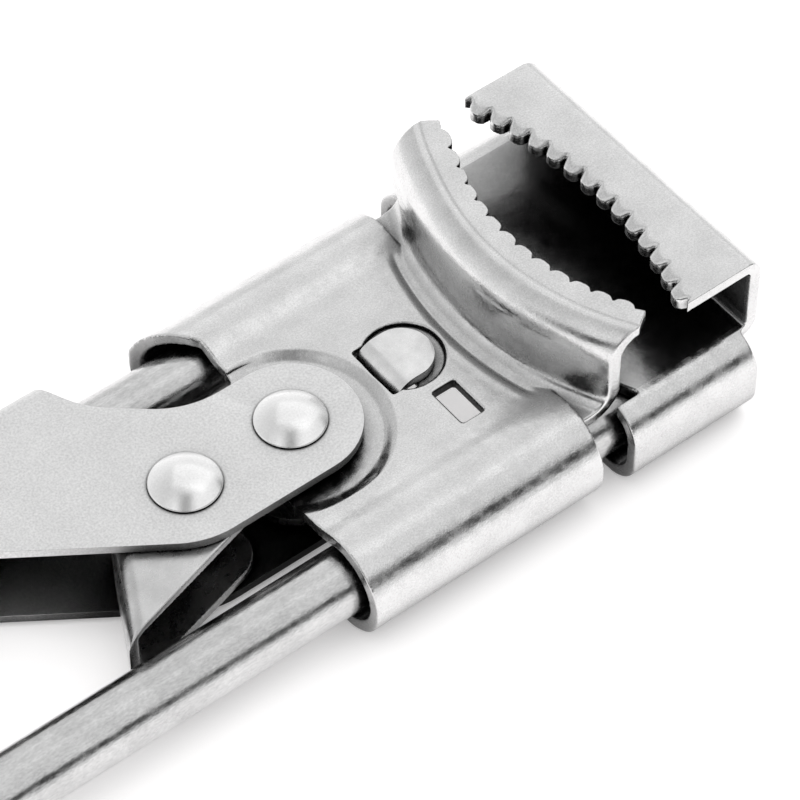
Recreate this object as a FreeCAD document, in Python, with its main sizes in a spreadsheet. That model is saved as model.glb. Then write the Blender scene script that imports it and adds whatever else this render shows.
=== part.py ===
"""Adjustable jar and bottle opener: two rails, a fixed jaw, and a jaw carriage that a lever ratchets along.

Frame: +X runs from the handles to the fixed jaw, +Y to the lever's side, +Z up. The origin is at the
centre of the box's bottom. Places along X are given as distances back from the fixed jaw's front face,
and heights are given from the rails' axis, so most expressions start with front_x or rail_z.
"""
import FreeCAD, Part
import math
import os
import re

import Sketcher

# Driving dimensions, in millimetres, degrees or counts.
SIZES = {
    # whole object
    "front_x": 103.0, "rail_z": 8.4, "hair": 0.05, "over": 1.0, "beyond": 60.0,
    # rail frame: a notched tube bent into a U
    "rail_y": 21.7, "rail_radius": 5.0, "rail_bore": 4.0, "rail_start": 3.6, "bend_back": 179.3,
    "notch_back": 107.6, "notch_pitch": 3.4, "notch_depth": 0.5, "notch_count": 20,
    # sheet metal of both jaws
    "sheet": 2.0, "plate_top": 7.0, "side_y": 30.1,
    # fixed jaw
    "fixed_back": 26.5, "fixed_nose": 3.0, "fixed_bend": 6.0, "fixed_tail_y": 20.4,
    "jaw_top": 20.9, "jaw_half_width": 25.6, "wall_bend": 3.0, "lip_reach": 16.0,
    "lip_arc_back": 80.3, "lip_arc_radius": 71.0, "lip_tooth_radius": 2.0, "lip_tooth_step": 2.9,
    "lip_tooth_count": 14, "lip_tooth_depth": 1.1, "lip_root": 0.2,
    "mouth_rear_y": 16.5, "mouth_side_y": 25.5, "mouth_depth": 4.2,
    # sliding carriage
    "shell_front": 32.3, "shell_rear": 73.6, "curl_radius": 8.4, "curl_blend": 10.0, "curl_end": 100.0,
    "grip_centre": 15.6, "grip_wall": 49.5, "grip_edge": 41.7, "grip_tooth_radius": 2.1,
    "grip_tooth_step": 4.75, "grip_tooth_count": 13, "grip_tooth_depth": 0.9, "grip_root": 0.3,
    "grip_half_angle": 33.0, "grip_crown": 5.0,
    "grip_foot": 2.5, "grip_run": 56.0, "grip_half_width": 24.6,
    "apron_back": 38.3, "apron_length": 15.0, "apron_gap": 1.5,
    "relief_inner_back": 67.0, "relief_inner_y": 13.0, "relief_outer_y": 20.5, "relief_rear_y": 8.0,
    "relief_side_y": 29.6,
    "dish_radius": 14.2, "dish_depth": 1.0, "dish_rim": 0.8,
    "slot_rear": 50.6, "slot_front": 46.0, "slot_y": 1.0, "slot_width": 10.2,
    "cup_back": 44.8, "cup_radius": 6.2, "cup_front": 38.4, "window_back": 43.8, "window_y": -10.6,
    "window_length": 4.0, "window_width": 7.2,
    # pivot bracket under the carriage plate
    "strap": 1.5, "strap_top": -3.7, "strap_half_width": 8.0, "tab_front": 40.3, "tab_top": 7.7,
    "tab_half_width": 4.8, "tab_radius": 4.8, "web_back": 50.2, "strap_rear": 73.4,
    # rivets, bushes and washers
    "pivot_back": 66.0, "link_back": 84.6, "shank_radius": 3.0, "hole_radius": 3.05,
    "head_radius": 5.4, "head_height": 2.0, "head_rim": 0.5, "head_lift": 0.05,
    "tail_radius": 4.6, "tail_height": 0.85,
    "washer_radius": 6.5, "bush_radius": 4.5, "link_bush_radius": 4.2,
    # lever
    "lever_sheet": 1.5, "ear_top": 9.2, "ear_floor": -7.4, "ear_radius": 10.5, "spine_y": 28.6,
    "spine_bend": 3.0, "elbow_back": 88.1, "grip_back": 120.1, "grip_y": 11.6, "lever_end": 196.0,
    "relief_bend": 15.0, "throat_back": 87.7, "throat_y": 20.0, "neck_back": 76.5,
    "spine_front": 91.6, "elbow_bend": 14.0,
    "grip_bend": 22.0, "lever_corner": 7.0,
    # pawl
    "pawl_sheet": 1.5, "pawl_top": 7.5, "pawl_floor": -5.7, "pawl_boss": 7.0,
    "pawl_tip_back": 106.3, "pawl_tip_y": -16.35, "pawl_heel_back": 98.9, "pawl_heel_y": -2.3,
    "pawl_skirt": 1.5, "pawl_tail": 2.0, "pawl_toe_length": 4.4, "pawl_toe_rise": 1.2, "pawl_round": 6.0,
    # pawl spring
    "wire_radius": 0.5, "coil_radius": 4.9, "coil_pitch": 1.3, "coil_turns": 4.0, "coil_floor": -2.6,
    "coil_leg": 4.5, "coil_turn": 20.0,
}

doc = FreeCAD.newDocument("jar_opener")
sheet = doc.addObject("Spreadsheet::Sheet", "Sizes")
for row, (alias, size) in enumerate(SIZES.items(), start=1):
    sheet.set(f"A{row}", alias)
    sheet.set(f"B{row}", str(size))
    sheet.setAlias(f"B{row}", alias)
doc.recompute()


# ---- expressions -------------------------------------------------------------------------------------

def bound(expression):
    """The same expression, with each alias pointing at the sheet."""
    return re.sub(r"[a-z]+(_[a-z]+)*", lambda word: word[0] if word[0] not in SIZES else "Sizes." + word[0],
                  expression)


def size(expression):
    """The expression's present value."""
    return float(sheet.evalExpression(bound(expression)))


def bind(owner, **expressions):
    """Bind the owner's properties to expressions of the sheet."""
    for name, expression in expressions.items():
        owner.setExpression(name, bound(expression))


# ---- sketches ----------------------------------------------------------------------------------------

def new_body(name):
    """An empty PartDesign body, whose name is the sub-part's."""
    body = doc.addObject("PartDesign::Body", name)
    body.Label = name
    return body


def new_sketch(body, plane, shift=("0", "0", "0")):
    """A sketch on one of the body's own origin planes, shifted in the plane's own axes."""
    sketch = body.newObject("Sketcher::SketchObject", body.Name + "_sketch")
    support = [item for item in body.Origin.OriginFeatures if item.Role == plane]
    sketch.AttachmentSupport = [(support[0], "")]
    sketch.MapMode = "FlatFace"
    for axis, expression in zip("xyz", shift):
        sketch.setExpression(f"AttachmentOffset.Base.{axis}", bound(expression))
    doc.recompute()
    return sketch


def pin(sketch, geometry, point, x, y):
    """Hold a point of the sketch at a place given by two expressions."""
    for kind, expression in (("DistanceX", x), ("DistanceY", y)):
        index = sketch.addConstraint(Sketcher.Constraint(kind, geometry, point, size(expression)))
        sketch.setExpression(f"Constraints[{index}]", bound(expression))


def fix_radius(sketch, geometry, radius):
    """Bind an arc's or circle's radius."""
    index = sketch.addConstraint(Sketcher.Constraint("Radius", geometry, size(radius)))
    sketch.setExpression(f"Constraints[{index}]", bound(radius))


def circle(sketch, x, y, radius):
    """A circle at a bound centre, with a bound radius."""
    centre = FreeCAD.Vector(size(x), size(y), 0)
    index = sketch.addGeometry(Part.Circle(centre, FreeCAD.Vector(0, 0, 1), size(radius)))
    pin(sketch, index, 3, x, y)
    fix_radius(sketch, index, radius)


def rounded_corner(before, corner, after, radius):
    """Ends and centre of the arc that rounds a corner, and whether it turns left."""
    inward = (before - corner).normalize()
    outward = (after - corner).normalize()
    half = inward.getAngle(outward) / 2
    reach = radius / math.tan(half)
    centre = corner + (inward + outward).normalize() * (radius / math.sin(half))
    return corner + inward * reach, corner + outward * reach, centre, inward.cross(outward).z < 0


def outline(sketch, corners):
    """A closed outline through corners (x, y, radius); every value is an expression, radius "0" is sharp."""
    count = len(corners)
    points = [FreeCAD.Vector(size(x), size(y), 0) for x, y, _ in corners]
    rounds = [size(radius) for _, _, radius in corners]
    arcs = []
    for i in range(count):
        if rounds[i] > 0:
            arcs.append(rounded_corner(points[i - 1], points[i], points[(i + 1) % count], rounds[i]))
        else:
            arcs.append((points[i], points[i], None, True))
    lines = [sketch.addGeometry(Part.LineSegment(arcs[i][1], arcs[(i + 1) % count][0]))
             for i in range(count)]
    for i, (x, y, radius) in enumerate(corners):
        arriving, leaving = lines[i - 1], lines[i]
        if rounds[i] == 0:
            sketch.addConstraint(Sketcher.Constraint("Coincident", arriving, 2, leaving, 1))
            pin(sketch, leaving, 1, x, y)
            continue
        first, last, centre, left = arcs[i]
        if not left:
            first, last = last, first
        angles = [math.atan2(end.y - centre.y, end.x - centre.x) for end in (first, last)]
        if angles[1] < angles[0]:
            angles[1] += 2 * math.pi
        ring = Part.Circle(centre, FreeCAD.Vector(0, 0, 1), rounds[i])
        arc = sketch.addGeometry(Part.ArcOfCircle(ring, angles[0], angles[1]))
        corner = sketch.addGeometry(Part.Point(points[i]), True)
        start, end = (1, 2) if left else (2, 1)
        sketch.addConstraint(Sketcher.Constraint("Tangent", arriving, 2, arc, start))
        sketch.addConstraint(Sketcher.Constraint("Tangent", leaving, 1, arc, end))
        sketch.addConstraint(Sketcher.Constraint("PointOnObject", corner, 1, arriving))
        sketch.addConstraint(Sketcher.Constraint("PointOnObject", corner, 1, leaving))
        fix_radius(sketch, arc, radius)
        pin(sketch, corner, 1, x, y)


def rectangle(sketch, left, right, low, high):
    """A rectangle between bound sides."""
    outline(sketch, [(left, low, "0"), (right, low, "0"), (right, high, "0"), (left, high, "0")])


# ---- features ----------------------------------------------------------------------------------------

def pad(body, sketch, length, midplane=False):
    """Pad the sketch along its normal, or evenly both ways."""
    feature = body.newObject("PartDesign::Pad", body.Name + "_pad")
    feature.Profile = sketch
    feature.Midplane = midplane
    bind(feature, Length=length)
    return settle(body, feature)


def pocket(body, sketch, length, midplane=False):
    """Cut the sketch out along its normal, or evenly both ways, and check that it cut something."""
    before = body.Shape.Volume
    feature = body.newObject("PartDesign::Pocket", body.Name + "_pocket")
    feature.Profile = sketch
    feature.Midplane = midplane
    feature.Reversed = not midplane
    bind(feature, Length=length)
    settle(body, feature)
    if body.Shape.Volume > before - 1e-3:
        raise RuntimeError(f"{feature.Name} cut nothing from {body.Name}")
    return feature


def revolve(body, sketch):
    """Turn the sketch once about its own vertical axis."""
    feature = body.newObject("PartDesign::Revolution", body.Name + "_revolution")
    feature.Profile = sketch
    feature.ReferenceAxis = (sketch, ["V_Axis"])
    return settle(body, feature)


def fan(body, feature, sketch, angle, occurrences):
    """Repeat a feature evenly about the normal through the sketch's origin."""
    pattern = body.newObject("PartDesign::PolarPattern", body.Name + "_fan")
    pattern.Originals = [feature]
    pattern.Axis = (sketch, ["N_Axis"])
    bind(pattern, Angle=angle, Occurrences=occurrences)
    return settle(body, pattern)


def round_edges(body, radius, wanted, upright):
    """Fillet the upright, or the level, edges whose two ends satisfy the test."""
    names = []
    for number, edge in enumerate(body.Shape.Edges, start=1):
        ends = [vertex.Point for vertex in edge.Vertexes]
        if len(ends) < 2 or upright != (abs(ends[0].z - ends[1].z) > 0.5):
            continue
        if all(wanted(end) for end in ends):
            names.append(f"Edge{number}")
    base = body.Tip
    feature = body.newObject("PartDesign::Fillet", body.Name + "_fillet")
    feature.Base = (base, names)
    bind(feature, Radius=radius)
    return settle(body, feature)


def settle(body, feature):
    """Make the feature the body's result and stop if it failed."""
    body.Tip = feature
    doc.recompute()
    if "Invalid" in feature.State or "Error" in feature.State or feature.Shape.isNull():
        raise RuntimeError(f"{feature.Name} failed: {feature.State} {feature.getStatusString()}")
    return feature


# ---- rail frame --------------------------------------------------------------------------------------

def rail_frame():
    """One tube bent into a U, with saw-tooth notches on the inner side of its right leg."""
    body = new_body("rail_frame")
    route = new_sketch(body, "XY_Plane", ("0", "0", "rail_z"))
    start = FreeCAD.Vector(size("front_x - rail_start"), -size("rail_y"), 0)
    bend = FreeCAD.Vector(size("front_x - bend_back"), -size("rail_y"), 0)
    mirrored = [FreeCAD.Vector(point.x, -point.y, 0) for point in (bend, start)]
    right = route.addGeometry(Part.LineSegment(start, bend))
    turn = Part.Circle(FreeCAD.Vector(bend.x, 0, 0), FreeCAD.Vector(0, 0, 1), size("rail_y"))
    arc = route.addGeometry(Part.ArcOfCircle(turn, math.pi / 2, 3 * math.pi / 2))
    left = route.addGeometry(Part.LineSegment(*mirrored))
    pin(route, right, 1, "front_x - rail_start", "-rail_y")
    pin(route, right, 2, "front_x - bend_back", "-rail_y")
    pin(route, left, 1, "front_x - bend_back", "rail_y")
    pin(route, left, 2, "front_x - rail_start", "rail_y")
    route.addConstraint(Sketcher.Constraint("Coincident", right, 2, arc, 2))
    route.addConstraint(Sketcher.Constraint("Coincident", left, 1, arc, 1))
    centre = route.addConstraint(Sketcher.Constraint("DistanceX", arc, 3, bend.x))
    route.setExpression(f"Constraints[{centre}]", bound("front_x - bend_back"))
    section = new_sketch(body, "YZ_Plane", ("0", "0", "front_x - rail_start"))
    circle(section, "-rail_y", "rail_z", "rail_radius")
    circle(section, "-rail_y", "rail_z", "rail_bore")
    tube = body.newObject("PartDesign::AdditivePipe", "rail_frame_tube")
    tube.Profile = section
    tube.Spine = (route, ["Edge1", "Edge2", "Edge3"])
    settle(body, tube)

    notch = new_sketch(body, "XY_Plane")
    crest = "rail_radius - rail_y"
    outline(notch, [("front_x - notch_back", crest + " + over", "0"),
                    ("front_x - notch_back", crest + " - notch_depth", "0"),
                    ("front_x - notch_back + notch_pitch", crest, "0"),
                    ("front_x - notch_back + notch_pitch", crest + " + over", "0")])
    cut = pocket(body, notch, "2 * rail_z")
    row = body.newObject("PartDesign::LinearPattern", "rail_frame_notches")
    row.Originals = [cut]
    row.Direction = (notch, ["H_Axis"])
    row.Reversed = True
    bind(row, Length="notch_pitch * (notch_count - 1)", Occurrences="notch_count")
    settle(body, row)
    return body


# ---- fixed jaw ---------------------------------------------------------------------------------------

def fixed_jaw():
    """One sheet: a plate over the rails, its sides curled round them, its front raised and bent back."""
    body = new_body("fixed_jaw")
    section = new_sketch(body, "YZ_Plane", ("0", "0", "front_x - fixed_back"))
    top = "rail_z + plate_top"
    under = top + " - sheet"
    low = "0"
    inner_bend = "fixed_bend - sheet"
    outline(section, [
        ("-fixed_tail_y", low, "0"), ("-side_y", low, "fixed_bend"), ("-side_y", top, "fixed_bend"),
        ("side_y", top, "fixed_bend"), ("side_y", low, "fixed_bend"), ("fixed_tail_y", low, "0"),
        ("fixed_tail_y", "sheet", "0"), ("side_y - sheet", "sheet", inner_bend),
        ("side_y - sheet", under, inner_bend), ("sheet - side_y", under, inner_bend),
        ("sheet - side_y", "sheet", inner_bend), ("-fixed_tail_y", "sheet", "0")])
    pad(body, section, "fixed_back - fixed_nose")

    hook = new_sketch(body, "XZ_Plane")
    front = "front_x"
    inside = "front_x - sheet"
    crown = "rail_z + jaw_top"
    root = "front_x - 2 * wall_bend"
    outline(hook, [
        (root, under, "0"), (front, under, "wall_bend"), (front, crown, "wall_bend"),
        ("front_x - lip_reach", crown, "0"), ("front_x - lip_reach", crown + " - sheet", "0"),
        (inside, crown + " - sheet", "wall_bend - sheet"), (inside, top, "wall_bend - sheet"),
        (root, top, "0")])
    pad(body, hook, "2 * jaw_half_width", midplane=True)

    lift = "rail_z + jaw_top - sheet"
    hollow = new_sketch(body, "XY_Plane", ("front_x - lip_arc_back", "0", lift + " - hair"))
    circle(hollow, "0", "0", "lip_arc_radius + lip_root")
    pocket(body, hollow, "2 * sheet")
    spread = "(lip_tooth_step * (lip_tooth_count - 1))"
    tooth = new_sketch(body, "XY_Plane", ("front_x - lip_arc_back", "0", lift))
    reach = "(lip_arc_radius + lip_tooth_radius - lip_tooth_depth)"
    circle(tooth, f"{reach} * cos({spread} * 0.5 deg)", f"-{reach} * sin({spread} * 0.5 deg)",
           "lip_tooth_radius")
    lobe = pad(body, tooth, "sheet")
    fan(body, lobe, tooth, spread, "lip_tooth_count")

    # the plate's rear corners are cut back, so that the movable jaw's ends pass outside them
    mouth = new_sketch(body, "XY_Plane", ("front_x - fixed_back", "0", "rail_z"))
    for turn in ("", "-"):
        outline(mouth, [("-over", turn + "mouth_rear_y", "0"), ("0", turn + "mouth_rear_y", "0"),
                        ("mouth_depth", turn + "mouth_side_y", "0"), ("-over", turn + "mouth_side_y", "0")])
    pocket(body, mouth, "plate_top + over")
    return body


# ---- sliding carriage --------------------------------------------------------------------------------

def curl_point(angle, radius, side):
    """A point of the curl round one rail, at an angle from outward, turning up."""
    y = size("rail_y") + radius * math.cos(math.radians(angle))
    z = size("rail_z") + radius * math.sin(math.radians(angle))
    return FreeCAD.Vector(0, side * y, z)


def curl_section():
    """Cross-section of the carriage: a plate that rises over both rails and wraps round them."""
    outer = size("curl_radius")
    thick = size("sheet")
    blend = size("curl_blend")
    top = size("rail_z + plate_top")
    centre_z = top + blend
    drop = centre_z - size("rail_z")
    centre_y = size("rail_y") - math.sqrt((outer + blend) ** 2 - drop ** 2)
    tilt = math.degrees(math.atan2(drop, centre_y - size("rail_y")))
    end = -size("curl_end")

    def side_edges(side, radius, arc, height):
        """One face of the sheet, from the middle of the plate to the curl's end."""
        middle = FreeCAD.Vector(0, 0, height)
        foot = FreeCAD.Vector(0, side * centre_y, height)
        half = math.radians((tilt - 90) / 2)
        bottom = FreeCAD.Vector(0, side * (centre_y + arc * math.sin(half)), centre_z - arc * math.cos(half))
        crest = curl_point(tilt, radius, side)
        return [Part.makeLine(middle, foot), Part.Arc(foot, bottom, crest).toShape(),
                Part.Arc(crest, curl_point((tilt + end) / 2, radius, side),
                         curl_point(end, radius, side)).toShape()]

    edges = []
    for side in (1, -1):
        edges += side_edges(side, outer, blend, top)
        edges += side_edges(side, outer - thick, blend + thick, top - thick)
        edges.append(Part.makeLine(curl_point(end, outer, side), curl_point(end, outer - thick, side)))
    return Part.Face(Part.Wire(Part.sortEdges(edges)[0]))


def block(low, high):
    """A box between two corners, each given as three numbers."""
    corner = FreeCAD.Vector(*low)
    return Part.makeBox(high[0] - low[0], high[1] - low[1], high[2] - low[2], corner)


def disc(x, y, low, high, radius):
    """An upright cylinder."""
    return Part.makeCylinder(radius, high - low, FreeCAD.Vector(x, y, low))


def prism(points, low, high):
    """An upright prism over a plan polygon."""
    corners = [FreeCAD.Vector(x, y, low) for x, y in points]
    face = Part.Face(Part.makePolygon(corners + corners[:1]))
    return face.extrude(FreeCAD.Vector(0, 0, high - low))


def grip_solid():
    """The movable jaw: its section turned about the arc's centre, with rounded teeth on the lip."""
    centre_x = size("front_x + grip_centre")
    thick = size("sheet")
    top = size("rail_z + jaw_top")
    plate = size("rail_z + plate_top")
    wall = size("grip_wall")
    crown = size("grip_crown")
    foot = size("grip_foot")
    edge = size("grip_edge + grip_root")
    run = size("grip_run")

    def corner(radius, height, away, up, bend):
        """Three points of a quarter bend whose tangent corner is at (radius, height)."""
        middle = bend * (1 - math.sqrt(0.5))
        return [(radius + away * bend, height), (radius + away * middle, height + up * middle),
                (radius, height + up * bend)]

    crown_out = corner(wall, top, -1, -1, crown)
    foot_out = corner(wall, plate, 1, 1, foot)[::-1]
    foot_in = corner(wall - thick, plate - thick, 1, 1, foot + thick)
    crown_in = corner(wall - thick, top - thick, -1, -1, crown - thick)[::-1]

    def place(point):
        return FreeCAD.Vector(centre_x - point[0], 0, point[1])

    route = [[(edge, top), crown_out[0]], crown_out, [crown_out[2], foot_out[0]], foot_out,
             [foot_out[2], (run, plate)], [(run, plate), (run, plate - thick)],
             [(run, plate - thick), foot_in[0]], foot_in, [foot_in[2], crown_in[0]], crown_in,
             [crown_in[2], (edge, top - thick)], [(edge, top - thick), (edge, top)]]
    edges = []
    for step in route:
        places = [place(point) for point in step]
        edges.append(Part.makeLine(*places) if len(places) == 2 else Part.Arc(*places).toShape())
    half = size("grip_half_angle")
    axis_point = FreeCAD.Vector(centre_x, 0, 0)
    face = Part.Face(Part.Wire(edges))
    face.rotate(axis_point, FreeCAD.Vector(0, 0, 1), -half)
    jaw = face.revolve(axis_point, FreeCAD.Vector(0, 0, 1), 2 * half)
    step = size("grip_tooth_step")
    count = int(size("grip_tooth_count"))
    reach = size("grip_edge + grip_tooth_radius - grip_tooth_depth")
    for i in range(count):
        angle = math.radians(180 + step * (i - (count - 1) / 2))
        tooth = disc(centre_x + reach * math.cos(angle), reach * math.sin(angle), top - thick, top,
                     size("grip_tooth_radius"))
        jaw = jaw.fuse(tooth)
    return jaw


def carriage_shell():
    """One pressed sheet: plate, curls, dish round the pivot, slot, window and the movable jaw."""
    front = size("front_x")
    plate = size("rail_z + plate_top")
    thick = size("sheet")
    side = size("side_y + over")
    tall = size("beyond")
    rear = front - size("shell_rear")
    nose = front - size("shell_front")
    section = curl_section()
    section.translate(FreeCAD.Vector(rear, 0, 0))
    shell = section.extrude(FreeCAD.Vector(nose - rear, 0, 0))
    bridge = size("grip_half_width")
    apron = front - size("apron_back")
    shell = shell.fuse(block((apron, -bridge, plate - thick), (apron + size("apron_length"), bridge, plate)))

    # in front of the movable jaw's wall there is no plate
    centre_x = front + size("grip_centre")
    shell = shell.cut(disc(centre_x, 0, plate - thick - size("over"), tall, size("grip_wall + apron_gap"))
                      .common(block((rear, -bridge, 0), (front, bridge, tall))))
    keep = block((rear, -bridge, plate - thick), (front, bridge, tall))
    shell = shell.fuse(grip_solid().common(keep))

    # dish round the lever's pivot
    pivot_x = front - size("pivot_back")
    depth = size("dish_depth")
    dish = size("dish_radius")
    floor = disc(pivot_x, 0, plate - thick - depth, plate, dish + size("dish_rim"))
    shell = shell.fuse(floor.common(block((rear, -side, 0), (front, side, tall))))
    shell = shell.cut(disc(pivot_x, 0, plate - depth, tall, dish))

    # the left curl's rear edge and the plate behind the pivot are cut back for the lever's swing
    inner = front - size("relief_inner_back")
    outside = rear - size("over")
    shell = shell.cut(prism([(outside, size("relief_rear_y")), (inner, size("relief_inner_y")),
                             (inner, size("relief_outer_y")), (rear, size("relief_side_y")),
                             (outside, size("relief_side_y"))], 0, tall))

    # slot, cup for the bracket's tab, and window
    slot_y = size("slot_y")
    half_slot = size("slot_width") / 2
    shell = shell.cut(disc(front - size("cup_back"), slot_y, plate - depth, tall / 2, size("cup_radius"))
                      .common(block((rear, -side, 0), (front - size("cup_front"), side, tall))))
    shell = shell.cut(block((front - size("slot_rear"), slot_y - half_slot, 0),
                            (front - size("slot_front"), slot_y + half_slot, tall / 2)))
    window_x = front - size("window_back")
    half_length = size("window_length") / 2
    half_width = size("window_width") / 2
    window_y = size("window_y")
    shell = shell.cut(block((window_x - half_length, window_y - half_width, 0),
                            (window_x + half_length, window_y + half_width, tall / 2)))
    shell = shell.cut(disc(pivot_x, 0, 0, tall, size("hole_radius")))
    part = doc.addObject("Part::Feature", "carriage_shell")
    part.Label = "carriage_shell"
    part.Shape = shell.removeSplitter()
    return part


def pivot_bracket():
    """A strap under the plate that holds the pivot's lower end; its tab comes up and folds over."""
    body = new_body("pivot_bracket")
    side = new_sketch(body, "XZ_Plane")
    strap_top = "rail_z + strap_top"
    strap_low = strap_top + " - strap"
    tab_top = "rail_z + tab_top"
    tab_low = tab_top + " - strap"
    rear_face = "front_x - web_back"
    front_face = rear_face + " + strap"
    outline(side, [
        ("front_x - strap_rear", strap_low, "0"), (front_face, strap_low, "2 * strap"),
        (front_face, tab_low, "strap"), ("front_x - tab_front", tab_low, "0"),
        ("front_x - tab_front", tab_top, "0"), (rear_face, tab_top, "2.5 * strap"),
        (rear_face, strap_top, "strap"), ("front_x - strap_rear", strap_top, "0")])
    pad(body, side, "2 * strap_half_width", midplane=True)

    for low, high in (("slot_y + tab_half_width", "beyond"), ("-beyond", "slot_y - tab_half_width")):
        waist = new_sketch(body, "XY_Plane", ("0", "0", "rail_z"))
        rectangle(waist, "front_x - link_back", "front_x", low, high)
        pocket(body, waist, "rail_z + tab_top")
    bore = new_sketch(body, "XY_Plane")
    circle(bore, "front_x - pivot_back", "0", "shank_radius")
    pocket(body, bore, "rail_z")
    tab_x = size("front_x - tab_front")
    rear_x = size("front_x - strap_rear")
    round_edges(body, "tab_radius - hair", lambda end: abs(end.x - tab_x) < 0.01, upright=True)
    round_edges(body, "strap_half_width - 1", lambda end: abs(end.x - rear_x) < 0.01, upright=True)
    return body


# ---- rivets, bushes and washers ----------------------------------------------------------------------

def rivet(name, back):
    """A rivet through both ears of the lever: domed head on top, flat closed end below."""
    body = new_body(name)
    profile = new_sketch(body, "XZ_Plane", (f"front_x - {back}", "0", "0"))
    seat = "rail_z + ear_top + head_lift"
    foot = "rail_z + ear_floor - head_lift"
    low = foot + " - tail_height"
    rim = seat + " + head_rim"
    crown = seat + " + head_height"
    corners = [("0", low), ("tail_radius", low), ("tail_radius", foot), ("shank_radius", foot),
               ("shank_radius", seat), ("head_radius", seat), ("head_radius", rim)]
    points = [FreeCAD.Vector(size(x), size(z), 0) for x, z in corners + [("0", crown)]]
    lines = [profile.addGeometry(Part.LineSegment(points[i], points[i + 1])) for i in range(6)]
    rise = size("head_height - head_rim")
    ball = (size("head_radius") ** 2 + rise ** 2) / (2 * rise)
    centre = FreeCAD.Vector(0, size(crown) - ball, 0)
    start = math.asin((ball - rise) / ball)
    dome = profile.addGeometry(Part.ArcOfCircle(Part.Circle(centre, FreeCAD.Vector(0, 0, 1), ball),
                                                start, math.pi / 2))
    axis = profile.addGeometry(Part.LineSegment(points[7], points[0]))
    for i, line in enumerate(lines):
        pin(profile, line, 1, *corners[i])
    pin(profile, lines[5], 2, *corners[6])
    pin(profile, axis, 1, "0", crown)
    for first, second in zip(lines[:5], lines[1:6]):
        profile.addConstraint(Sketcher.Constraint("Coincident", first, 2, second, 1))
    profile.addConstraint(Sketcher.Constraint("Coincident", lines[5], 2, dome, 1))
    profile.addConstraint(Sketcher.Constraint("Coincident", dome, 2, axis, 1))
    profile.addConstraint(Sketcher.Constraint("Coincident", axis, 2, lines[0], 1))
    profile.addConstraint(Sketcher.Constraint("PointOnObject", dome, 3, -2))
    revolve(body, profile)
    return body


def ring(name, back, low, height, outer, inner):
    """A bush or washer round a rivet."""
    body = new_body(name)
    face = new_sketch(body, "XY_Plane", (f"front_x - {back}", "0", low))
    circle(face, "0", "0", outer)
    circle(face, "0", "0", inner)
    pad(body, face, height)
    return body


# ---- lever -------------------------------------------------------------------------------------------

def lever():
    """A sheet folded into a U: two ears with one outline, joined along the handle's outer edge."""
    body = new_body("lever")
    plan = new_sketch(body, "XY_Plane", ("0", "0", "rail_z + ear_floor"))
    nose = "front_x - pivot_back + ear_radius"
    end = "front_x - lever_end"
    outline(plan, [
        (nose, "-ear_radius", "ear_radius - hair"), ("front_x - elbow_back", "-ear_radius", "elbow_bend"),
        ("front_x - grip_back", "grip_y", "grip_bend"), (end, "grip_y", "lever_corner"),
        (end, "spine_y", "lever_corner"), ("front_x - spine_front", "spine_y", "1"),
        ("front_x - throat_back", "throat_y", "relief_bend"),
        ("front_x - neck_back", "ear_radius", "relief_bend"),
        (nose, "ear_radius", "ear_radius - hair")])
    pad(body, plan, "ear_top - ear_floor")
    tail = ("0", "0", "front_x - lever_end - over")
    floor, top = "rail_z + ear_floor", "rail_z + ear_top"
    fold = new_sketch(body, "YZ_Plane", tail)
    rectangle(fold, "-beyond", "beyond", "-beyond", "beyond")
    outline(fold, [("over - beyond", floor, "0"), ("spine_y", floor, "spine_bend"),
                   ("spine_y", top, "spine_bend"), ("over - beyond", top, "0")])
    pocket(body, fold, "lever_end")
    gap = new_sketch(body, "YZ_Plane", tail)
    inner = "spine_y - lever_sheet"
    low = "rail_z + ear_floor + lever_sheet"
    high = "rail_z + ear_top - lever_sheet"
    bend = "spine_bend - lever_sheet"
    outline(gap, [("-beyond", low, "0"), (inner, low, bend), (inner, high, bend), ("-beyond", high, "0")])
    pocket(body, gap, "lever_end")
    for back in ("pivot_back", "link_back"):
        hole = new_sketch(body, "XY_Plane")
        circle(hole, f"front_x - {back}", "0", "hole_radius")
        pocket(body, hole, "2 * rail_z + ear_top")
    return body


# ---- pawl and its spring -----------------------------------------------------------------------------

def pawl():
    """A sheet folded into a U round the link rivet; one end of its web is the tip that meets the notches."""
    body = new_body("pawl")
    plan = new_sketch(body, "XY_Plane", ("0", "0", "rail_z + pawl_floor"))
    centre = "front_x - link_back"
    outline(plan, [
        (centre + " + pawl_boss", "-pawl_boss - pawl_skirt", "pawl_round"),
        (centre + " + pawl_boss", "pawl_boss", "pawl_round"),
        (centre + " - pawl_boss - pawl_tail", "pawl_boss", "pawl_round"),
        ("front_x - pawl_heel_back", "pawl_heel_y", "0"),
        ("front_x - pawl_tip_back", "pawl_tip_y", "0"),
        ("front_x - pawl_tip_back + pawl_toe_length", "pawl_tip_y + pawl_toe_rise", "pawl_sheet")])
    pad(body, plan, "pawl_top - pawl_floor")
    gap = new_sketch(body, "XY_Plane", ("0", "0", "rail_z + pawl_floor + pawl_sheet"))
    web_x = "(front_x - pawl_heel_back)"
    lean = "((pawl_tip_back - pawl_heel_back) / (pawl_heel_y - pawl_tip_y))"
    inset = f"(pawl_sheet * sqrt(1 + {lean} * {lean}))"
    corners = []
    for y in ("beyond", "-beyond"):
        corners.append((f"{web_x} + {inset} + {lean} * ({y} - pawl_heel_y)", y, "0"))
    corners += [("beyond", "-beyond", "0"), ("beyond", "beyond", "0")]
    outline(gap, corners)
    pocket(body, gap, "pawl_top - pawl_floor - 2 * pawl_sheet")
    hole = new_sketch(body, "XY_Plane")
    circle(hole, centre, "0", "hole_radius")
    pocket(body, hole, "2 * rail_z + pawl_top")
    return body


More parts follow.
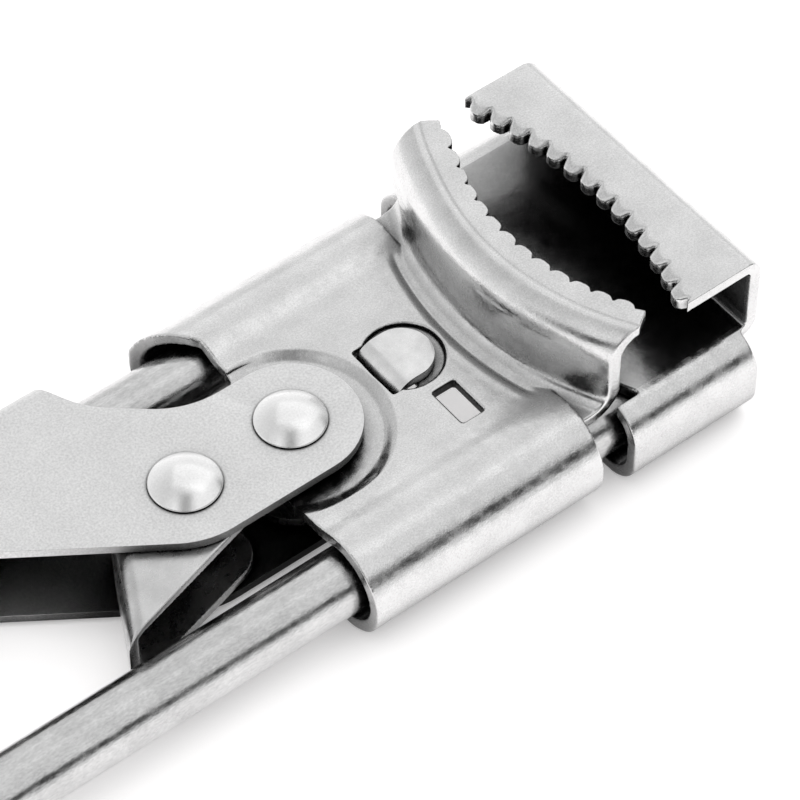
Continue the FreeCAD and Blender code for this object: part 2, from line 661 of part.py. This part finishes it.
def pawl_spring():
    """A torsion spring round the pawl's bush: one wire, with a straight leg at each end of its coil."""
    wire = size("wire_radius")
    coil = size("coil_radius")
    pitch = size("coil_pitch")
    rise = pitch * size("coil_turns")
    centre = FreeCAD.Vector(size("front_x - link_back"), 0, size("rail_z + coil_floor"))
    helix = Part.makeHelix(pitch, rise, coil)
    helix.translate(centre)
    first = centre + FreeCAD.Vector(coil, 0, 0)
    last = first + FreeCAD.Vector(0, 0, rise)
    along = FreeCAD.Vector(0, 1, pitch / (2 * math.pi * coil)).normalize()
    leg = along * size("coil_leg")
    route = Part.Wire([Part.makeLine(first - leg, first)] + helix.Edges + [Part.makeLine(last, last + leg)])
    section = Part.Wire(Part.makeCircle(wire, first - leg, along))
    solid = route.makePipeShell([section], True, True)
    solid.rotate(centre, FreeCAD.Vector(0, 0, 1), size("coil_turn"))
    part = doc.addObject("Part::Feature", "pawl_spring")
    part.Label = "pawl_spring"
    part.Shape = solid
    return part


# ---- assembly ----------------------------------------------------------------------------------------

def build():
    """Every sub-part, in the order that they would be put together."""
    dish_floor = "rail_z + plate_top - dish_depth"
    strap_floor = "rail_z + strap_top - strap"
    ear_under = "ear_top - lever_sheet"
    return [
        rail_frame(), fixed_jaw(), carriage_shell(), pivot_bracket(), lever(), pawl(), pawl_spring(),
        rivet("pivot_rivet", "pivot_back"), rivet("pawl_rivet", "link_back"),
        ring("upper_pivot_washer", "pivot_back", dish_floor,
             f"{ear_under} - plate_top + dish_depth - 2 * hair", "washer_radius", "shank_radius"),
        ring("lower_pivot_washer", "pivot_back", "rail_z + ear_floor + lever_sheet + 2 * hair",
             "strap_top - strap - ear_floor - lever_sheet - 2 * hair", "washer_radius", "shank_radius"),
        ring("pivot_bush", "pivot_back", "rail_z + strap_top",
             "plate_top - dish_depth - sheet - strap_top", "bush_radius", "shank_radius"),
        ring("pawl_bush", "link_back", "rail_z + pawl_floor + pawl_sheet",
             "pawl_top - pawl_floor - 2 * pawl_sheet", "link_bush_radius", "hole_radius"),
    ]


def export(parts):
    """Check every object and write one STEP file for each sub-part."""
    doc.recompute()
    for item in doc.Objects:
        if "Invalid" in item.State or "Error" in item.State:
            raise RuntimeError(f"{item.Name} failed")
    os.makedirs("parts", exist_ok=True)
    for part in parts:
        shape = part.Shape
        if shape.isNull() or not shape.isValid() or shape.Volume <= 0:
            raise RuntimeError(f"{part.Label} has no valid shape")
        shape.exportStep(f"parts/{part.Label}.step")
        box = shape.BoundBox
        print(f"{part.Label:20} solids {len(shape.Solids)} volume {shape.Volume:8.1f} "
              f"x {box.XMin:7.2f} {box.XMax:7.2f} y {box.YMin:6.2f} {box.YMax:6.2f} "
              f"z {box.ZMin:6.2f} {box.ZMax:6.2f}")


export(build())
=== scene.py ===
"""Adjustable jar and bottle opener: finish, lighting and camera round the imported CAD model."""
import bpy
import math
import numpy as np
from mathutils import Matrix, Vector


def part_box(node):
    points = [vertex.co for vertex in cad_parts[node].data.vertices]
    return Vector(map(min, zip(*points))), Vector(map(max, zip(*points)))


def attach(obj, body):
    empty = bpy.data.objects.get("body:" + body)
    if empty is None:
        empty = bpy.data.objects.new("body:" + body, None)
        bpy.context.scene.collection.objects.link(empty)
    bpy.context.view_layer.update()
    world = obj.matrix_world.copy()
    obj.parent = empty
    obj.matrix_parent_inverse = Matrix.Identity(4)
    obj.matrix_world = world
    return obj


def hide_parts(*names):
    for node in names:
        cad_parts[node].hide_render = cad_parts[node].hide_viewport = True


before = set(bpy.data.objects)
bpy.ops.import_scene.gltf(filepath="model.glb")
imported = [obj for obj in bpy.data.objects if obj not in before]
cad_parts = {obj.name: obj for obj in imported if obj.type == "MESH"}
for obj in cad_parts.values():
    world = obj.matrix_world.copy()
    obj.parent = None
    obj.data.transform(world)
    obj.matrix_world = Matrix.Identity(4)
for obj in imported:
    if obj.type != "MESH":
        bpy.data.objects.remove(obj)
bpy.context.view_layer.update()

MM = 0.001
FRONT_X = 103.0     # front face of the fixed jaw
RAIL_Z = 8.4        # height of the rails' axis


# ---- materials ---------------------------------------------------------------------------------------

def link(tree, start, end):
    tree.links.new(start, end)


def add(tree, kind, **values):
    """A node with some of its input sockets or properties set."""
    node = tree.nodes.new(kind)
    for name, value in values.items():
        socket = name.replace("_", " ")
        if socket in node.inputs:
            node.inputs[socket].default_value = value
        else:
            setattr(node, name, value)
    return node


def noise(tree, place, size_mm, detail=3.0, stretch=(1, 1, 1)):
    """Noise whose features are about size_mm, stretched along an axis."""
    mapping = add(tree, "ShaderNodeMapping")
    mapping.inputs["Scale"].default_value = stretch
    link(tree, place, mapping.inputs["Vector"])
    node = add(tree, "ShaderNodeTexNoise", Scale=1.0 / (size_mm * MM), Detail=detail, Roughness=0.55)
    link(tree, mapping.outputs["Vector"], node.inputs["Vector"])
    return node.outputs["Fac"]


def spread(tree, value, low, high, source=(0.3, 0.7)):
    """Map a noise value to a range."""
    node = add(tree, "ShaderNodeMapRange", From_Min=source[0], From_Max=source[1], To_Min=low, To_Max=high)
    link(tree, value, node.inputs["Value"])
    return node.outputs["Result"]


def steel(name, tone, gloss, grain, mottle=8.0, dents=0.02, grain_mm=0.25, drawn=(1, 1, 1), recess_shade=0.04,
          shade_ao_range=(0.32, 0.80), speckle=(0.94, 1.03), shade_reach=15):
    """Stainless steel with painted shade: its colour darkens in recesses and between parts, and its sharp
    edges are lightened, part wear and part painted highlight. tone and gloss are ranges, grain and dents
    heights in mm.
    """
    material = bpy.data.materials.new(name)
    material.use_nodes = True
    tree = material.node_tree
    tree.nodes.clear()
    place = add(tree, "ShaderNodeTexCoord").outputs["Object"]
    shader = add(tree, "ShaderNodeBsdfPrincipled", Metallic=1.0)
    out = add(tree, "ShaderNodeOutputMaterial")
    link(tree, shader.outputs["BSDF"], out.inputs["Surface"])

    broad = noise(tree, place, mottle)
    fine = noise(tree, place, grain_mm, 4.0, drawn)
    # Sharp edges lightened from pointiness: part wear, part painted highlight.
    wear_and_highlight = add(tree, "ShaderNodeNewGeometry").outputs["Pointiness"]
    edge = spread(tree, wear_and_highlight, 0.0, 0.06, (0.54, 0.64))
    colour = add(tree, "ShaderNodeMath", operation="ADD")
    link(tree, spread(tree, broad, *tone), colour.inputs[0])
    link(tree, edge, colour.inputs[1])
    grainy = add(tree, "ShaderNodeMath", operation="MULTIPLY")
    link(tree, colour.outputs[0], grainy.inputs[0])
    link(tree, spread(tree, fine, *speckle), grainy.inputs[1])
    # Painted shade: ambient occlusion darkens the base colour in recesses and between parts.
    shade_ao = add(tree, "ShaderNodeAmbientOcclusion", samples=6, Distance=shade_reach * MM)
    unshaded_share = spread(tree, shade_ao.outputs["AO"], recess_shade, 1.0, shade_ao_range)
    shaded = add(tree, "ShaderNodeMath", operation="MULTIPLY")
    link(tree, grainy.outputs[0], shaded.inputs[0])
    link(tree, unshaded_share, shaded.inputs[1])
    tint = add(tree, "ShaderNodeCombineColor")
    for channel in ("Red", "Green", "Blue"):
        link(tree, shaded.outputs[0], tint.inputs[channel])
    link(tree, tint.outputs["Color"], shader.inputs["Base Color"])
    patchy = noise(tree, place, mottle * 0.35, 5.0)
    link(tree, spread(tree, patchy, *gloss), shader.inputs["Roughness"])

    broad_bump = add(tree, "ShaderNodeBump", Strength=1.0, Distance=dents * MM)
    link(tree, noise(tree, place, mottle * 0.6, 2.0), broad_bump.inputs["Height"])
    peel = add(tree, "ShaderNodeBump", Strength=1.0, Distance=dents * 0.16 * MM)
    link(tree, noise(tree, place, mottle * 0.14, 3.0, drawn), peel.inputs["Height"])
    link(tree, broad_bump.outputs["Normal"], peel.inputs["Normal"])
    fine_bump = add(tree, "ShaderNodeBump", Strength=1.0, Distance=grain * MM)
    link(tree, fine, fine_bump.inputs["Height"])
    link(tree, peel.outputs["Normal"], fine_bump.inputs["Normal"])
    link(tree, fine_bump.outputs["Normal"], shader.inputs["Normal"])
    return material


# In every material, ambient occlusion paints shade into recesses and between parts.
MATERIALS = {
    "polished_sheet": steel("polished_sheet", (0.71, 0.81), (0.13, 0.34), 0.014, 6.0, 0.07, 0.26,
                            speckle=(0.84, 1.05)),
    # Painted reflection: a darker copy of the polished sheet for the inside of the fixed jaw, with painted
    # shade reaching further.
    "throat_painted_reflection": steel("throat_painted_reflection", (0.64, 0.76), (0.16, 0.24), 0.010, 6.0, 0.05, 0.24,
                          recess_shade=0.02, shade_ao_range=(0.34, 0.80), speckle=(0.90, 1.03), shade_reach=24),
    "tumbled_sheet": steel("tumbled_sheet", (0.84, 0.89), (0.46, 0.54), 0.035, 9.0, 0.01, 0.36,
                           recess_shade=0.0, shade_ao_range=(0.60, 0.90), speckle=(0.82, 1.06)),
    "tube_steel": steel("tube_steel", (0.58, 0.70), (0.12, 0.30), 0.014, 5.0, 0.07, 0.3, (0.4, 1, 1),
                        recess_shade=0.1, shade_ao_range=(0.12, 0.55), speckle=(0.84, 1.05)),
    "rivet_steel": steel("rivet_steel", (0.93, 0.97), (0.18, 0.28), 0.003, 4.0, 0.01, 0.3,
                         recess_shade=0.3, shade_ao_range=(0.1, 0.5)),
    "pawl_sheet": steel("pawl_sheet", (0.58, 0.72), (0.22, 0.36), 0.006, 5.0, 0.03, 0.25,
                        recess_shade=0.02, shade_ao_range=(0.16, 0.42)),
    "bracket_sheet": steel("bracket_sheet", (0.72, 0.90), (0.20, 0.38), 0.006, 4.0, 0.03, 0.25,
                           recess_shade=0.05, shade_ao_range=(0.15, 0.6)),
    "turned_steel": steel("turned_steel", (0.5, 0.62), (0.25, 0.4), 0.004, 3.0, 0.01, 0.2, recess_shade=0.05),
    # Painted shade: near-black colour for the window's sheared walls.
    "cut_edge_painted_shade": steel("cut_edge_painted_shade", (0.05, 0.12), (0.3, 0.5), 0.01, 2.0, 0.02, 0.25, recess_shade=0.05),
    "spring_wire": steel("spring_wire", (0.4, 0.55), (0.25, 0.4), 0.003, 2.0, 0.01, 0.2, recess_shade=0.05),
}


def paint(piece, slot):
    """Give the piece one material."""
    piece.data.materials.clear()
    piece.data.materials.append(MATERIALS[slot])


# ---- CAD nodes ---------------------------------------------------------------------------------------

def soften_edges(node, width_mm, segments=3, angle=30):
    """Round a CAD node's sharp edges with modifiers, which leave its mesh as it is."""
    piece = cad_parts[node]
    weld = piece.modifiers.new("weld", "WELD")
    weld.merge_threshold = 1e-6
    bevel = piece.modifiers.new("bevel", "BEVEL")
    bevel.width = width_mm * MM
    bevel.segments = segments
    bevel.limit_method = "ANGLE"
    bevel.angle_limit = math.radians(angle)
    bevel.use_clamp_overlap = True
    piece.data.polygons.foreach_set("use_smooth", [True] * len(piece.data.polygons))
    even = piece.modifiers.new("even", "WEIGHTED_NORMAL")
    even.weight = 100
    return piece


for node, slot, width in (
        ("rail_frame", "tube_steel", 0.08), ("pivot_bracket", "bracket_sheet", 0.25),
        ("lever", "tumbled_sheet", 0.55), ("pivot_bush", "turned_steel", 0.15),
        ("pawl_bush", "turned_steel", 0.15), ("upper_pivot_washer", "turned_steel", 0.12),
        ("lower_pivot_washer", "turned_steel", 0.12),
        ("pawl_spring", "spring_wire", 0.05)):
    paint(soften_edges(node, width), slot)


# ---- pressed sheet -----------------------------------------------------------------------------------

def applied(piece):
    """Replace the piece's mesh by the result of its modifiers."""
    graph = bpy.context.evaluated_depsgraph_get()
    mesh = bpy.data.meshes.new_from_object(piece.evaluated_get(graph))
    piece.modifiers.clear()
    old = piece.data
    piece.data = mesh
    bpy.data.meshes.remove(old)


def relax(piece, rounds, weights=None):
    """Smooth the piece, where the weights say so."""
    smooth = piece.modifiers.new("relax", "SMOOTH")
    smooth.factor = 0.5
    smooth.iterations = rounds
    if weights is not None:
        group = piece.vertex_groups.new(name="relax")
        for index in np.flatnonzero(weights > 0.02):
            group.add([int(index)], float(weights[index]), "REPLACE")
        smooth.vertex_group = group.name
    applied(piece)
    piece.vertex_groups.clear()


def coordinates(piece):
    """Vertices in millimetres, as back from the front face, sideways, and up from the rails' axis."""
    flat = np.empty(len(piece.data.vertices) * 3)
    piece.data.vertices.foreach_get("co", flat)
    places = flat.reshape(-1, 3) / MM
    return places - (FRONT_X, 0, RAIL_Z)


def put_back(piece, places):
    piece.data.vertices.foreach_set("co", ((places + (FRONT_X, 0, RAIL_Z)) * MM).ravel())
    piece.data.update()


def ramp(value, start, end):
    """0 before start, 1 after end, smooth between."""
    share = np.clip((value - start) / (end - start), 0, 1)
    return share * share * (3 - 2 * share)


def pressed(node, name, slot, body, voxel_mm, rounds):
    """A dense copy of a sheet part with softly rounded edges, which stands for its CAD node."""
    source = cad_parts[node]
    piece = bpy.data.objects.new(name, source.data.copy())
    bpy.context.scene.collection.objects.link(piece)
    weld = piece.modifiers.new("weld", "WELD")
    weld.merge_threshold = 1e-6
    remesh = piece.modifiers.new("remesh", "REMESH")
    remesh.mode = "VOXEL"
    remesh.voxel_size = voxel_mm * MM
    applied(piece)
    relax(piece, rounds)
    piece.data.polygons.foreach_set("use_smooth", [True] * len(piece.data.polygons))
    paint(piece, slot)
    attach(piece, body)
    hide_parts(node)
    return piece


def press_carriage(piece):
    """Soft step round the pivot's dish, and the crease behind the movable jaw's foot."""
    places = coordinates(piece)
    x, y, z = places.T
    from_pivot = np.hypot(x + 66.0, y)
    step = ramp(from_pivot, 13.0, 15.6)
    near = (from_pivot > 11) & (from_pivot < 18)
    flat_share = 1 - ramp(np.abs(y), 13.6, 15.2)
    for low, high, level in ((3.8, 5.4, 4.0), (5.4, 7.3, 6.0)):
        layer = near & (z > low) & (z < high)
        places[layer, 2] += ((level + step - z) * flat_share)[layer]
    put_back(piece, places)
    relax(piece, 4, near & (z > 3))
    places = coordinates(piece)
    x, y, z = places.T
    out = np.hypot(x - 15.6, y)
    flat = ramp(z, 4.0, 4.8) * (1 - ramp(z, 8.0, 9.0)) * (1 - ramp(np.abs(y), 14.5, 18.0))
    places[:, 2] -= 0.22 * np.exp(-((out - 52.6) / 0.5) ** 2) * flat
    places[:, 2] += 0.12 * np.exp(-((out - 54.0) / 0.7) ** 2) * flat
    crown = ramp(z, 17.5, 18.5)
    places[:, 2] -= 0.18 * np.exp(-((out - 45.2) / 0.35) ** 2) * crown
    angle = np.degrees(np.arctan2(y, 15.6 - x)) / 4.75
    across = np.abs(angle - np.round(angle)) * 2
    notch = crown * (1 - ramp(out, 41.2, 42.6)) * across ** 6
    flatter = crown * (1 - ramp(out, 40.9, 42.2)) * 0.3 * (1 - across ** 2)
    places[:, :2] += ((places[:, :2] - (15.6, 0)) / out[:, None]) * (0.8 * notch + flatter)[:, None]
    places[:, 1] += 1.6 * ramp(y, 14, 25) * ramp(z, 8.5, 12)
    put_back(piece, places)


def press_fixed_jaw(piece):
    """Teeth struck down from the lip's root line, each one a rounded lobe."""
    places = coordinates(piece)
    x, y, z = places.T
    out = np.hypot(x + 80.3, y)
    lip = ramp(z, 17.5, 18.3)
    place = np.degrees(np.arctan2(y, x + 80.3)) / 2.9 + 6.5
    across = np.abs(place - np.round(place)) * 2
    fall = 1 - ramp(out, 69.9, 71.9)
    places[:, 2] -= lip * fall * (0.7 + 0.5 * across ** 2)
    struck = lip * (1 - ramp(out, 70.6, 72.6)) * (0.9 * across ** 5 - 0.35)
    places[:, :2] += ((places[:, :2] + (80.3, 0)) / out[:, None]) * struck[:, None]
    put_back(piece, places)


shell = pressed("carriage_shell", "carriage_pressing", "polished_sheet", "carriage", 0.23, 4)
press_carriage(shell)
jaw = pressed("fixed_jaw", "fixed_jaw_pressing", "polished_sheet", "frame", 0.23, 3)


def second_painted_light_material(piece, slot, chosen):
    """Give the faces whose first corner is chosen another material, one that carries painted shade or a
    painted reflection.
    """
    piece.data.materials.append(MATERIALS[slot])
    corners = np.empty(len(piece.data.loops), int)
    piece.data.loops.foreach_get("vertex_index", corners)
    starts = np.empty(len(piece.data.polygons), int)
    piece.data.polygons.foreach_get("loop_start", starts)
    piece.data.polygons.foreach_set("material_index", chosen[corners[starts]].astype(int))


def paint_throat(piece):
    """A darker material inside the fixed jaw: a painted reflection of dark surroundings, with painted shade
    reaching further in.
    """
    x, y, z = coordinates(piece).T
    inside = (z > 4.6) & (z < 19.6) & (np.abs(y) < 24.6) & (x < -1.4)
    second_painted_light_material(piece, "throat_painted_reflection", inside)


def paint_cut_edges(piece):
    """The window's sheared walls get painted shade, near black, darker than the sheet's face."""
    x, y, z = coordinates(piece).T
    away = np.maximum(np.abs(x + 43.8) - 2.0, np.abs(y + 10.6) - 3.6)
    second_painted_light_material(piece, "cut_edge_painted_shade", (away < 0.12) & (z > 4.6) & (z < 6.9))


press_fixed_jaw(jaw)
paint_throat(jaw)
paint_cut_edges(shell)


def bend_pawl(piece):
    """Round both bends between the pawl's web and its two faces."""
    places = coordinates(piece)
    x, y, z = places.T
    bend = 3.0
    inside = np.clip((x + 98.9) * 0.885 - (y + 2.3) * 0.466, 0, bend)
    drop = bend - np.sqrt(bend ** 2 - (bend - inside) ** 2)
    middle = 0.9
    places[:, 2] -= drop * ramp(z, middle + 0.6, 6.6)
    places[:, 2] += drop * ramp(-z, -middle + 0.6, 4.8)
    put_back(piece, places)
    relax(piece, 5, (inside < bend - 0.3).astype(float))


bend_pawl(pressed("pawl", "pawl_pressing", "pawl_sheet", "pawl", 0.2, 3))


# ---- rivets ------------------------------------------------------------------------------------------

def turned(name, profile, centre_x, slot, around=96):
    """A profile of (radius, height) turned about an upright axis, closed at both ends."""
    verts, faces = [], []
    for radius, height in profile:
        for step in range(around):
            angle = 2 * math.pi * step / around
            verts.append(((centre_x + radius * math.cos(angle)) * MM, radius * math.sin(angle) * MM,
                          height * MM))
    for row in range(len(profile) - 1):
        for step in range(around):
            a = row * around + step
            b = row * around + (step + 1) % around
            faces.append((a, b, b + around, a + around))
    faces.append(tuple(range(around))[::-1])
    faces.append(tuple(range(len(verts) - around, len(verts))))
    mesh = bpy.data.meshes.new(name)
    mesh.from_pydata(verts, [], faces)
    piece = bpy.data.objects.new(name, mesh)
    bpy.context.scene.collection.objects.link(piece)
    mesh.polygons.foreach_set("use_smooth", [True] * len(mesh.polygons))
    paint(piece, slot)
    return piece


def rivet(node, body):
    """Peened rivet: a flat dome over an undercut rim, its shank, and a riveted-over foot."""
    low, high = (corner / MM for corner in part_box(node))
    centre_x = (low.x + high.x) / 2
    seat = RAIL_Z + 9.25
    rim = 5.4
    rise = high.z - seat - 0.25
    foot = RAIL_Z - 7.45
    profile = [(0.05, low.z), (4.0, low.z), (4.45, low.z + 0.12), (4.6, low.z + 0.4), (4.55, foot - 0.1),
               (4.4, foot), (3.0, foot), (3.0, seat), (rim - 1.0, seat), (rim - 0.25, seat + 0.06),
               (rim - 0.03, seat + 0.17)]
    rings = 26
    for ring in range(rings + 1):
        radius = rim * (1 - ring / rings) + 0.02
        profile.append((radius, seat + 0.25 + rise * (1 - (radius / (rim + 0.02)) ** 2)))
    piece = turned(node + "_turned", profile, centre_x, "rivet_steel")
    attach(piece, body)
    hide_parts(node)


rivet("pivot_rivet", "carriage")
rivet("pawl_rivet", "lever")


# ---- floor, light and camera -------------------------------------------------------------------------

def floor():
    """A white table top that glows, its glow dimmed near the tool as a painted shadow."""
    mesh = bpy.data.meshes.new("table_top")
    half = 3.0
    low = -0.0002
    mesh.from_pydata([(-half, -half, low), (half, -half, low), (half, half, low), (-half, half, low)], [],
                     [(0, 1, 2, 3)])
    table = bpy.data.objects.new("table_top", mesh)
    bpy.context.scene.collection.objects.link(table)
    material = bpy.data.materials.new("table_white")
    material.use_nodes = True
    tree = material.node_tree
    shader = tree.nodes["Principled BSDF"]
    shader.inputs["Base Color"].default_value = (0.92, 0.91, 0.91, 1)
    shader.inputs["Roughness"].default_value = 0.9
    shader.inputs["Specular IOR Level"].default_value = 0.1
    shader.inputs["Emission Color"].default_value = (1, 0.99, 0.99, 1)
    # Painted shadow: the floor's glow falls off where ambient occlusion finds the tool close by.
    near = add(tree, "ShaderNodeAmbientOcclusion", samples=8, Distance=0.02)
    glow_dimmed_as_shadow = spread(tree, near.outputs["AO"], 0.25, 0.62, (0.08, 0.6))
    link(tree, glow_dimmed_as_shadow, shader.inputs["Emission Strength"])
    table.data.materials.append(material)


def studio():
    """White overhead, a dark band low on the right, and a narrow gap where the photographer stood."""
    world = bpy.data.worlds.new("studio")
    bpy.context.scene.world = world
    world.use_nodes = True
    tree = world.node_tree
    tree.nodes.clear()
    direction = add(tree, "ShaderNodeTexCoord").outputs["Generated"]
    split = add(tree, "ShaderNodeSeparateXYZ")
    link(tree, direction, split.inputs["Vector"])
    height = add(tree, "ShaderNodeValToRGB")
    stops = height.color_ramp
    stops.elements[0].position, stops.elements[0].color = 0.0, (0.8, 0.8, 0.8, 1)
    stops.elements[1].position, stops.elements[1].color = 1.0, (0.85, 0.85, 0.85, 1)
    for place, grey in ((0.13, 0.9), (0.22, 0.08), (0.44, 0.04), (0.56, 0.82), (0.74, 0.82)):
        stops.elements.new(place).color = (grey, grey, grey, 1)
    link(tree, split.outputs["Z"], height.inputs["Fac"])
    clear = add(tree, "ShaderNodeMapRange", From_Min=-0.1, From_Max=0.25, To_Min=0.0, To_Max=1.0)
    link(tree, split.outputs["Y"], clear.inputs["Value"])
    open_side = add(tree, "ShaderNodeMapRange", From_Min=0.0, From_Max=0.8, To_Min=1.0, To_Max=0.61)
    link(tree, split.outputs["Z"], open_side.inputs["Value"])
    around = add(tree, "ShaderNodeMix", data_type="FLOAT")
    link(tree, clear.outputs["Result"], around.inputs[0])
    link(tree, height.outputs["Color"], around.inputs[2])
    link(tree, open_side.outputs["Result"], around.inputs[3])
    toward = add(tree, "ShaderNodeVectorMath", operation="DOT_PRODUCT")
    toward.inputs[1].default_value = (0.62, 0.78, 0.0)
    link(tree, direction, toward.inputs[0])
    side = add(tree, "ShaderNodeMapRange", From_Min=-0.7, From_Max=0.5, To_Min=1.15, To_Max=1.0)
    link(tree, toward.outputs["Value"], side.inputs["Value"])
    across = add(tree, "ShaderNodeVectorMath", operation="DOT_PRODUCT")
    across.inputs[1].default_value = (0.787, -0.617, 0.0)
    link(tree, direction, across.inputs[0])
    width = add(tree, "ShaderNodeMath", operation="ABSOLUTE")
    link(tree, across.outputs["Value"], width.inputs[0])
    stripe = add(tree, "ShaderNodeMapRange", From_Min=0.04, From_Max=0.32, To_Min=0.35, To_Max=1.0,
                 interpolation_type="SMOOTHSTEP")
    link(tree, width.outputs[0], stripe.inputs["Value"])
    away = add(tree, "ShaderNodeMapRange", From_Min=-0.12, From_Max=0.02, To_Min=0.0, To_Max=1.0)
    link(tree, toward.outputs["Value"], away.inputs["Value"])
    person = add(tree, "ShaderNodeMath", operation="MAXIMUM")
    link(tree, stripe.outputs["Result"], person.inputs[0])
    link(tree, away.outputs["Result"], person.inputs[1])
    lit = add(tree, "ShaderNodeMath", operation="MULTIPLY")
    link(tree, around.outputs[0], lit.inputs[0])
    link(tree, side.outputs["Result"], lit.inputs[1])
    light = add(tree, "ShaderNodeMath", operation="MULTIPLY")
    link(tree, lit.outputs[0], light.inputs[0])
    link(tree, person.outputs[0], light.inputs[1])
    sky = add(tree, "ShaderNodeBackground")
    link(tree, light.outputs[0], sky.inputs["Color"])
    pale = add(tree, "ShaderNodeBackground", Color=(1, 1, 1, 1), Strength=0.95)
    seen = add(tree, "ShaderNodeLightPath").outputs["Is Camera Ray"]
    mix = add(tree, "ShaderNodeMixShader")
    link(tree, seen, mix.inputs["Fac"])
    link(tree, sky.outputs["Background"], mix.inputs[1])
    link(tree, pale.outputs["Background"], mix.inputs[2])
    out = add(tree, "ShaderNodeOutputWorld")
    link(tree, mix.outputs["Shader"], out.inputs["Surface"])


def softbox(name, place, target, width, height, power):
    """A rectangular area light aimed at a point."""
    data = bpy.data.lights.new(name, "AREA")
    data.shape = "RECTANGLE"
    data.size, data.size_y = width, height
    data.energy = power
    lamp = bpy.data.objects.new(name, data)
    lamp.location = place
    lamp.rotation_euler = (Vector(place) - Vector(target)).to_track_quat("Z", "Y").to_euler()
    bpy.context.scene.collection.objects.link(lamp)


def camera():
    """The photograph's long lens, from behind the right-hand side of the handles."""
    data = bpy.data.cameras.new("camera")
    data.sensor_width = 36.0
    data.lens = 180.0
    data.clip_start, data.clip_end = 0.01, 50.0
    viewer = bpy.data.objects.new("camera", data)
    viewer.location = (-0.1718, -0.2920, 0.4616)
    back = Vector((-0.3897, -0.4977, 0.7747))
    viewer.rotation_mode = "QUATERNION"
    viewer.rotation_quaternion = back.to_track_quat("Z", "Y")
    bpy.context.scene.collection.objects.link(viewer)
    bpy.context.scene.camera = viewer


floor()
studio()
softbox("key", (0.45, 0.35, 0.75), (0.04, 0.0, 0.0), 1.0, 1.0, 0.9)
camera()
bpy.context.scene.view_settings.view_transform = "Standard"
